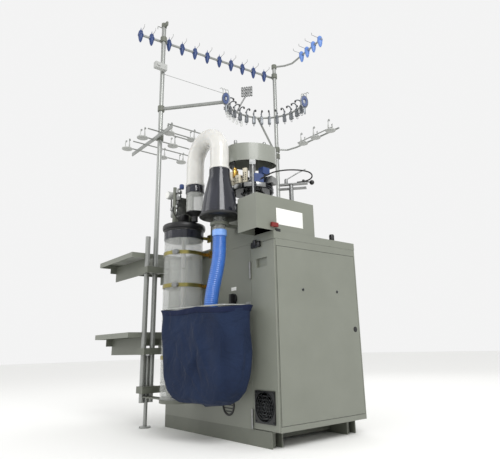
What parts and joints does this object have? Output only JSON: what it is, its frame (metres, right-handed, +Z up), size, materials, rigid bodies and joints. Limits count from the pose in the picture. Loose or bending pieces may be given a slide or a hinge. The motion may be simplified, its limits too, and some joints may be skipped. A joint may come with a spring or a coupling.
{
  "type": "industrial knitting machine",
  "caption": "Floor-standing small-diameter circular knitting machine with cabinet, knitting head, goods suction and bag, storage cylinder, cone shelves and overhead yarn creel.",
  "frame": {"origin": "on the floor, at the centre of the four anchor holes in the base beams", "axes": "+X right along the front, +Y back into the machine, +Z up"},
  "size_m": [1.452, 1.1501, 2.457],
  "materials": {
    "cabinet_enamel": "fine textured enamel",
    "frame_enamel": "satin enamel",
    "drum_enamel": "satin enamel",
    "steel_tube": "polished",
    "machined_steel": "machined",
    "motor_paint": "satin",
    "black_moulding": "satin moulded",
    "rubber": "matt",
    "cream_moulding": "satin moulded",
    "valve_stand_paint": "satin",
    "zinc_yellow": "yellow passivated zinc",
    "clear_acrylic": "polished clear",
    "smoked_acrylic": "polished smoked",
    "milky_pvc": "glossy",
    "blue_hose": "ribbed satin",
    "navy_canvas": "woven",
    "blue_moulding": "satin moulded",
    "signal_grey": "satin moulded",
    "red_moulding": "glossy moulded"
  },
  "bodies": {
    "machine": {"actuator_box": "black_moulding", "bag_hoop": "steel_tube", "base_frame": "frame_enamel", "bed_box": "cabinet_enamel", "bed_plate": "machined_steel", "bell_base": "black_moulding", "bell_bracket": "frame_enamel", "cabinet_shell": "cabinet_enamel", "cabinet_top": "cabinet_enamel", "cam_ring": "machined_steel", "cap_funnel": "black_moulding", "clamp_bands": "zinc_yellow", "collecting_bag": "navy_canvas", "control_unit": "frame_enamel", "cover_fixings": "machined_steel", "creel_poles": "steel_tube", "creel_rods": "steel_tube", "disc_tensioners": "machined_steel", "door_hinges": "machined_steel", "drive_belt": "rubber", "drive_motor": "motor_paint", "drum_cover": "drum_enamel", "electrics_door": "cabinet_enamel", "fan_frame": "black_moulding", "fan_grille": "black_moulding", "feeder_bracket": "machined_steel", "goods_hose": "blue_hose", "guide_ring": "steel_tube", "head_bridge": "machined_steel", "hose_cuff": "blue_hose", "lower_shelf": "cabinet_enamel", "pole_clamps": "frame_enamel", "pole_feet": "steel_tube", "pressure_valve": "machined_steel", "ring_posts": "machined_steel", "selector_blocks": "cream_moulding", "shelf_brackets": "frame_enamel", "signal_box": "signal_grey", "storage_base": "frame_enamel", "storage_cap": "black_moulding", "storage_cylinder": "clear_acrylic", "suction_bell": "smoked_acrylic", "suction_sleeve": "clear_acrylic", "transfer_duct": "milky_pvc", "upper_shelf": "cabinet_enamel", "valve_stand": "valve_stand_paint", "yarn_sensors": "blue_moulding", "yarn_tensioners": "machined_steel"},
    "side_door": {"side_door": "cabinet_enamel"},
    "side_door_lock": {"side_door_lock": "machined_steel"},
    "fan_rotor": {"fan_rotor": "black_moulding"},
    "main_switch": {"main_switch": "black_moulding"},
    "start_button": {"start_button": "red_moulding"},
    "needle_cylinder": {"needle_cylinder": "machined_steel", "cylinder_pulley": "machined_steel"},
    "dial": {"dial": "machined_steel"},
    "motor_pulley": {"motor_pulley": "machined_steel"},
    "ball_lever": {"ball_lever": "black_moulding"},
    "drop_wires": {"drop_wires": "machined_steel"},
    "arm_drop_wires": {"arm_drop_wires": "machined_steel"}
  },
  "joints": [
    {"name": "side_door_hinge", "type": "hinge", "parent": "machine", "child": "side_door", "pos_m": [0.4745, -0.2345, 0.444], "axis": [0, 0, -1], "range_deg": [0, 100]},
    {"name": "side_door_lock_turn", "type": "hinge", "parent": "side_door", "child": "side_door_lock", "pos_m": [0.48, 0.24, 0.455], "axis": [1, 0, 0], "range_deg": [0, 90]},
    {"name": "fan_spin", "type": "hinge", "parent": "machine", "child": "fan_rotor", "pos_m": [0.3965, -0.237, 0.152], "axis": [0, -1, 0], "continuous": true},
    {"name": "main_switch_turn", "type": "hinge", "parent": "machine", "child": "main_switch", "pos_m": [0.187, -0.259, 0.602], "axis": [0, -1, 0], "range_deg": [0, 90]},
    {"name": "start_button_press", "type": "slide", "parent": "machine", "child": "start_button", "axis": [-1, 0, 0], "range_m": [0, 0.004], "stiffness_N_per_m": 400, "springref_m": -0.001},
    {"name": "cylinder_spin", "type": "hinge", "parent": "machine", "child": "needle_cylinder", "pos_m": [0.215, -0.15, 1.05], "axis": [0, 0, 1], "continuous": true},
    {"name": "dial_spin", "type": "hinge", "parent": "machine", "child": "dial", "pos_m": [0.215, -0.15, 1.2], "axis": [0, 0, 1], "continuous": true},
    {"name": "motor_spin", "type": "hinge", "parent": "machine", "child": "motor_pulley", "pos_m": [0.36, -0.04, 0.92], "axis": [0, 0, 1], "continuous": true},
    {"name": "ball_lever_turn", "type": "hinge", "parent": "machine", "child": "ball_lever", "pos_m": [0.436, -0.011, 1.15], "axis": [0, 0, 1], "range_deg": [-20, 25]},
    {"name": "drop_wires_lift", "type": "hinge", "parent": "machine", "child": "drop_wires", "pos_m": [-0.44098, 0.05045, 2.35], "axis": [-0.122, -0.9925, 0], "range_deg": [0, 25]},
    {"name": "arm_drop_wires_lift", "type": "hinge", "parent": "machine", "child": "arm_drop_wires", "pos_m": [-0.08196, 0.58532, 2.43], "axis": [-0.9932, 0.1168, 0], "range_deg": [0, 25]}
  ],
  "couplings": [
    {"joint": "dial_spin", "follows": "cylinder_spin", "ratio": 1},
    {"joint": "motor_spin", "follows": "cylinder_spin", "ratio": 2.4}
  ]
}
